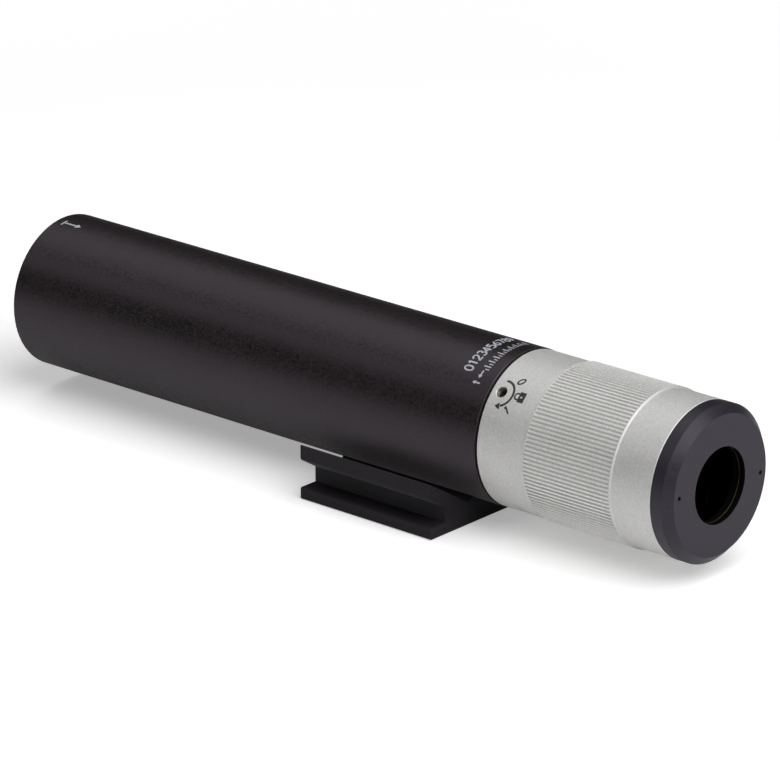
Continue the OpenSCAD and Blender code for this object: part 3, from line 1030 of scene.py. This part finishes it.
@dataclass
class FocusScale(PrintedMarks):
    """The scale on the tube's end: plain numbers over ticks, an index and an arrow. A tick is
    its low end, its high end and its width."""

    first_angle: float = 124.6
    last_angle: float = 78.0
    count: int = 10
    digit_size: tuple[float, float] = (3.2, 3.3)
    digits_up: float = 3.9
    line: float = 0.56
    long_tick: tuple[float, float, float] = (-1.6, 1.0, 0.44)
    short_tick: tuple[float, float, float] = (-1.6, -0.2, 0.36)
    tick_gap: float = 0.6
    index_angle: float = 133.8
    index_ends: tuple[float, float] = (-1.35, 1.5)
    arrow_angles: tuple[float, float] = (123.4, 130.1)
    arrow_line: float = 0.5
    index_head: ArrowHead = ArrowHead(length=1.15, width=1.4, cover=0.25)
    arrow_head: ArrowHead = ArrowHead(length=1.15, width=1.6, cover=0.35)

    def numbers(self) -> list[Grid]:
        """The numbers from 0, each with its middle on its own angle, in reading order.

        Returns:
            Their surfaces.
        """
        found = []
        for number, angle in enumerate(np.linspace(self.first_angle, self.last_angle, self.count)):
            for path in digit(number):
                flat = (path - (DIGIT_MIDDLE, 0.0)) * self.digit_size
                flat = flat + (self.marks.across(angle), self.digits_up)
                found.append(self.marks.stroke(flat, self.line))
        return found

    def ticks(self) -> list[Grid]:
        """A long tick under each number and a short one between, past the arrow's tail.

        Returns:
            Their surfaces.
        """
        found, tail = [], self.marks.across(self.arrow_angles[0])
        angles = np.linspace(self.first_angle, self.last_angle, 2 * self.count - 1)
        for number, angle in enumerate(angles):
            x = self.marks.across(angle)
            low, high, width = self.short_tick if number % 2 else self.long_tick
            if x > tail + self.tick_gap:
                found.append(self.marks.stroke([[x, low], [x, high]], width))
        return found

    def strokes(self) -> list[Grid]:
        """Numbers on the first row, ticks, index and arrow on the second.

        Returns:
            The marks' surfaces.
        """
        m = self.marks
        index = m.across(self.index_angle)
        tail, tip = (m.across(angle) for angle in self.arrow_angles)
        low, high = self.index_ends
        return (self.numbers() + self.ticks()
                + m.arrow((index, low), (index, high), self.arrow_line, self.index_head)
                + m.arrow((tail, 0.0), (tip, 0.0), self.arrow_line, self.arrow_head))


@dataclass
class BeamArrow(PrintedMarks):
    """A plain arrow by the input end that shows which way the beam goes."""

    length: float = 7.5
    line: float = 0.7
    head: ArrowHead = ArrowHead(length=1.9, width=2.4, cover=0.3)
    bar_half: float = 1.5
    bar_line: float = 0.56

    def strokes(self) -> list[Grid]:
        """An arrow with a bar at its tail.

        Returns:
            The marks' surfaces.
        """
        m, half = self.marks, self.length / 2
        bar = m.stroke([[-self.bar_half, half], [self.bar_half, half]], self.bar_line)
        return m.arrow((0.0, half), (0.0, -half), self.line, self.head) + [bar]


@dataclass(frozen=True)
class Padlock:
    """A padlock sign: a bent shackle over a body with a keyhole gap. Heights count from the
    sign's middle, and a bar is its low and its high side."""

    at: float = -7.5
    width: float = 3.5
    shackle_half: float = 1.0
    shackle_foot: float = 0.5
    shackle_bend: float = 1.3
    shackle_rise: float = 0.9
    shackle_line: float = 0.54
    bars: tuple[tuple[float, float], ...] = ((-1.6, -0.65), (0.05, 0.75))
    keyhole_half: float = 0.3
    keyhole_at: float = -0.3
    keyhole_height: float = 0.85

    def strokes(self, m: MarkField) -> list[Grid]:
        """The shackle, a bar under the keyhole and one over it, and the body beside it.

        Args:
            m: The patch that it is printed on.

        Returns:
            The sign's surfaces.
        """
        y, half, foot = self.at, self.width / 2, self.shackle_half
        bend = arc((0.0, y + self.shackle_bend), (foot, self.shackle_rise), 180, 0)
        ends = [[[side * foot, y + self.shackle_foot]] for side in (-1, 1)]
        found = [m.stroke(np.vstack([ends[0], bend, ends[1]]), self.shackle_line)]
        for low, high in self.bars:
            middle = y + (low + high) / 2
            found.append(m.stroke([[-half, middle], [half, middle]], high - low))
        for side in (-1, 1):
            inner, outer = side * self.keyhole_half, side * half
            height = y + self.keyhole_at
            found.append(m.stroke([[inner, height], [outer, height]], self.keyhole_height))
        return found


@dataclass
class LockMarks(PrintedMarks):
    """The curved arrow round the lock screw, which says to turn it clockwise, and beyond it a
    padlock between a 0 and a 1."""

    centre: tuple[float, float] = (-0.3, -0.1)
    arc_radius: float = 4.35
    arc_angles: tuple[float, float] = (6.0, -160.0)
    line: float = 0.76
    head_angles: tuple[float, float] = (-162.0, -186.0)
    head_width: float = 2.3
    number_line: float = 0.56
    number_radii: tuple[float, float] = (5.6, 8.3)
    number_angles: tuple[float, float] = (-42.0, -138.0)
    padlock: Padlock = Padlock()

    def numbers(self) -> list[Grid]:
        """0 and 1, each in a radial box: its height runs out from the screw to the foot of
        the number, and its width square to that.

        Returns:
            Their surfaces.
        """
        found = []
        near, far = self.number_radii
        size = far - near
        for number, angle in enumerate(np.radians(self.number_angles)):
            out = np.array([np.cos(angle), np.sin(angle)])
            aside = np.array([-out[1], out[0]])
            for path in digit(number):
                up, across = path[:, 1:], path[:, :1] - DIGIT_MIDDLE
                flat = out * (far - size * up) + aside * across * size
                found.append(self.marks.stroke(flat, self.number_line))
        return found

    def strokes(self) -> list[Grid]:
        """An arc and its tapered head, two numbers whose tops point at the screw, and the
        padlock.

        Returns:
            The marks' surfaces.
        """
        m, radii = self.marks, (self.arc_radius, self.arc_radius)
        shaft = m.stroke(arc(self.centre, radii, *self.arc_angles), self.line)
        head = m.stroke(arc(self.centre, radii, *self.head_angles, 8), (self.head_width, NEEDLE))
        return [shaft, head] + self.numbers() + self.padlock.strokes(m)


@dataclass
class ThreadSleeve:
    """The cut thread on the wall of a plain hole: a thin sleeve with a helical inner face."""

    name: str
    frame: SideFrame
    thread: HelixThread
    low: float
    high: float
    body: Body
    slot: str
    wall: float
    skin: float = 0.01
    runout: float = 0.5
    around: int = 96
    per_pitch: int = 10

    def build(self, material: bpy.types.Material) -> bpy.types.Object:
        """Carries a loop round the hole's axis: up the threaded face, whose radius follows
        the helix and runs out over half a pitch at both ends, where a thin skin is left, and
        down a plain outer face inside the wall.

        Args:
            material: The finish.

        Returns:
            The piece.
        """
        rows = int((self.high - self.low) / self.thread.pitch * self.per_pitch) + 2
        height = np.linspace(self.low, self.high, rows)
        turn = np.arange(self.around)[:, None] / self.around
        ends = np.minimum(height - self.low, self.high - height) / self.thread.pitch
        open_share = 1.0 - np.clip(ends / self.runout, 0.0, 1.0)
        cut = self.thread.radius(height, turn)
        inner = cut + (self.wall - self.skin - cut) * open_share
        outer = np.full_like(inner, self.wall)
        radius = np.concatenate([inner, outer[:, ::-1]], axis=1)
        levels = np.concatenate([height, height[::-1]])[None, :]
        points = self.frame.place(radius, turn, levels)
        piece = make_mesh(self.name, [Grid(points, wrap_rows=True, wrap_cols=True)], closed=True)
        return seat(piece, material, self.body)


@dataclass
class SetScrew:
    """The socket set screw in the collar's side hole, with its thread. The drill's mark at the
    socket's floor is a share of the socket's radius, its depth there and its tip's depth."""

    frame: SideFrame
    thread: HelixThread
    low: float
    length: float = 2.0
    crest: float = 1.73
    foot: float = 0.6
    bevel: float = 0.38
    socket: float = 1.6
    socket_depth: float = 1.0
    mouth: float = 0.09
    mouth_depth: float = 0.07
    drill: tuple[float, float, float] = (0.55, 0.12, 0.3)
    around: int = 120
    rows: int = 30

    def build(self, material: bpy.types.Material) -> bpy.types.Object:
        """Carries a path round the screw's axis: out over its foot, up the helical side, in
        over its rim, and down a six-sided socket, whose radius is half its width across
        flats over the cosine of the angle from the nearest flat.

        Args:
            material: The finish.

        Returns:
            The piece.
        """
        turn = np.arange(self.around)[:, None] / self.around
        side = np.linspace(0.0, self.length, self.rows)
        from_end = np.minimum(side, self.length - side)
        limit = self.crest - np.clip(self.bevel - from_end, 0.0, 1.0)
        body = np.minimum(self.thread.radius(self.low + side, turn), limit)
        from_flat = np.mod(turn + 1 / 12, 1 / 6) - 1 / 12
        hexagon = self.socket / 2 / np.cos(2 * np.pi * from_flat)
        ones = np.ones_like(turn)
        top, floor = self.length, self.length - self.socket_depth
        share, cone, tip = self.drill
        parts = [(0.0 * ones, 0.0), (self.foot * ones, 0.0), (body, side),
                 (hexagon + self.mouth, top), (hexagon, top - self.mouth_depth),
                 (hexagon, floor), (share * hexagon, floor - cone), (0.0 * ones, floor - tip)]
        radius = np.concatenate([r for r, _ in parts], axis=1)
        levels = np.concatenate([np.atleast_1d(np.asarray(h, float)) for _, h in parts])
        points = self.frame.place(radius, turn, levels[None, :] + self.low)
        piece = make_mesh("lock_screw_threaded", [Grid(points, wrap_rows=True)], closed=True)
        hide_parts("lock_screw")
        return seat(piece, material, Body.SCREW)


# ---------------------------------------------------------------- stage


@dataclass(frozen=True)
class Softbox:
    """A flat lamp that aims at the expander. Its power is its radiance times pi times its
    area, so the radiance is what a mirror shows."""

    name: str
    place: tuple[float, float, float]
    aim: tuple[float, float, float]
    width: float
    depth: float
    radiance: float

    def build(self) -> bpy.types.Object:
        """Makes the lamp.

        Returns:
            The lamp.
        """
        lamp = bpy.data.lights.new(self.name, "AREA")
        lamp.shape, lamp.size, lamp.size_y = "RECTANGLE", self.width, self.depth
        lamp.energy = self.radiance * np.pi * self.width * self.depth
        made = bpy.data.objects.new(self.name, lamp)
        made.location = self.place
        towards = Vector(self.aim) - Vector(self.place)
        made.rotation_euler = towards.to_track_quat("-Z", "Y").to_euler()
        bpy.context.scene.collection.objects.link(made)
        return made


@dataclass
class Studio:
    """The pale floor, the lamps, the room and the camera. The floor glows for the camera, from
    its glow near the object to 1 at the far end of the glow's reach."""

    floor_reach: float = 30.0
    floor_drop: float = 0.0001
    floor_colour: tuple[float, float, float] = (0.93, 0.93, 0.93)
    glow: float = 0.36
    glow_reach: tuple[float, float] = (0.45, 2.0)
    mirrored_glow: float = 0.13
    room: float = 0.03
    boxes: tuple[Softbox, ...] = (
        Softbox("overhead", place=(-1.0, 0.18, 1.32), aim=(0, 0, 0.05),
                width=1.07, depth=0.36, radiance=2.95),
        Softbox("near_side", place=(-1.0, -0.82, 1.03), aim=(0, 0, 0.05),
                width=0.42, depth=0.42, radiance=3.2),
        Softbox("front_fill", place=(1.0, -0.1, 1.5), aim=(0, 0, 0.03),
                width=1.8, depth=1.8, radiance=3.3),
    )
    azimuth: float = 41.06
    elevation: float = 20.28
    target: tuple[float, float, float] = (-0.01982, 0.0, 0.028405)
    distance: float = 1.81534
    lens: float = 265.78
    sensor: float = 36.0
    far_clip: float = 100.0

    def floor(self) -> bpy.types.Object:
        """Makes the floor: a flat square just under the foot.

        Returns:
            The floor.
        """
        span = np.linspace(-self.floor_reach, self.floor_reach, 3)
        y, x = np.meshgrid(span, span)
        floor = make_mesh("floor", [Grid(np.stack([x, y, np.full_like(x, -self.floor_drop)], -1))])
        g = Graph("floor")
        where = g.where()
        shade = g.toned(self.floor_colour, g.vary(g.noise(where, 3.0, 2.0), 0.99, 1.01))
        g.set(Base_Color=shade, Roughness=0.9, Specular_IOR_Level=0.2)
        path = g.add("LightPath", {}).outputs
        mirrored = g.math("MAXIMUM", path["Is Glossy Ray"], path["Is Transmission Ray"])
        away = g.add("VectorMath", {0: where}, operation="LENGTH").outputs["Value"]
        glow = g.spread(away, *self.glow_reach, self.glow, 1.0)
        seen = g.math("MAXIMUM", g.math("MULTIPLY", path["Is Camera Ray"], glow),
                      g.math("MULTIPLY", mirrored, self.mirrored_glow))
        g.set(Emission_Color=rgba((1.0, 1.0, 1.0)), Emission_Strength=seen)
        floor.data.materials.append(g.material)
        return floor

    def light(self) -> None:
        """Lights the object with the soft boxes and an even, dim room."""
        for box in self.boxes:
            box.build()
        world = bpy.data.worlds.new("room")
        world.use_nodes = True
        world.node_tree.nodes["Background"].inputs[0].default_value = rgba((1.0, 1.0, 1.0))
        world.node_tree.nodes["Background"].inputs[1].default_value = self.room
        bpy.context.scene.world = world
        bpy.context.scene.view_settings.view_transform = "Standard"

    def camera(self) -> bpy.types.Object:
        """Places the camera on its line of sight: target plus distance times the direction
        of its azimuth and elevation.

        Returns:
            The camera.
        """
        az, el = np.radians([self.azimuth, self.elevation])
        away = Vector((np.sin(az) * np.cos(el), -np.cos(az) * np.cos(el), np.sin(el)))
        data = bpy.data.cameras.new("camera")
        data.sensor_width, data.lens = self.sensor, self.lens
        data.clip_end = self.far_clip
        made = bpy.data.objects.new("camera", data)
        made.location = Vector(self.target) + away * self.distance
        made.rotation_euler = (-away).to_track_quat("-Z", "Y").to_euler()
        bpy.context.scene.collection.objects.link(made)
        bpy.context.scene.camera = made
        return made


def main() -> None:
    """Loads the frame, dresses it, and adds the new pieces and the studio."""
    logging.basicConfig(level=logging.INFO, format="%(name)s: %(message)s")
    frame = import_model()
    finishes = Finishes()
    studio = Studio()
    studio.camera()
    PackedNodes(frame["nodes"], frame["record"]).dress(finishes)

    white, dark = finishes.of(WHITE_PRINT), finishes.of(DARK_PRINT)
    scale_patch = MarkField(station=191.95, angle=100.0, radius=TUBE_R)
    arrow_patch = MarkField(station=7.5, angle=100.0, radius=TUBE_R)
    lock_patch = MarkField(station=LOCK_AT, angle=LOCK_ANGLE, radius=COLLAR_R)
    FocusScale("focus_scale", scale_patch, Body.BARREL, "black_anodised").build(white)
    BeamArrow("beam_arrow", arrow_patch, Body.BARREL, "black_anodised").build(white)
    LockMarks("lock_marks", lock_patch, Body.COLLAR, "clear_anodised").build(dark)

    # Every thread has 32 turns an inch. The screw's crests run free of the hole's roots.
    pitch, lock_hole = 0.7938, SideFrame.radial(LOCK_AT, LOCK_ANGLE)
    screw_thread = HelixThread(pitch, root=1.44, depth=0.29)
    hole_thread = HelixThread(pitch, root=1.49, depth=0.3)
    bore_thread = HelixThread(pitch, root=12.3, depth=0.39)
    SetScrew(lock_hole, screw_thread, low=21.67).build(finishes.get("screw_black"))
    ThreadSleeve("lock_hole_thread", lock_hole, hole_thread, 22.55, 24.95, Body.COLLAR,
                 "clear_anodised", wall=1.82).build(finishes.get("tapped_hole_painted_shade"))
    ThreadSleeve("input_bore_thread", SideFrame.axial(), bore_thread, 1.5, 8.3, Body.BARREL,
                 "ring_anodised", wall=12.72, around=192).build(finishes.get("ring_anodised"))

    studio.floor()
    studio.light()


if __name__ == "__main__":
    main()
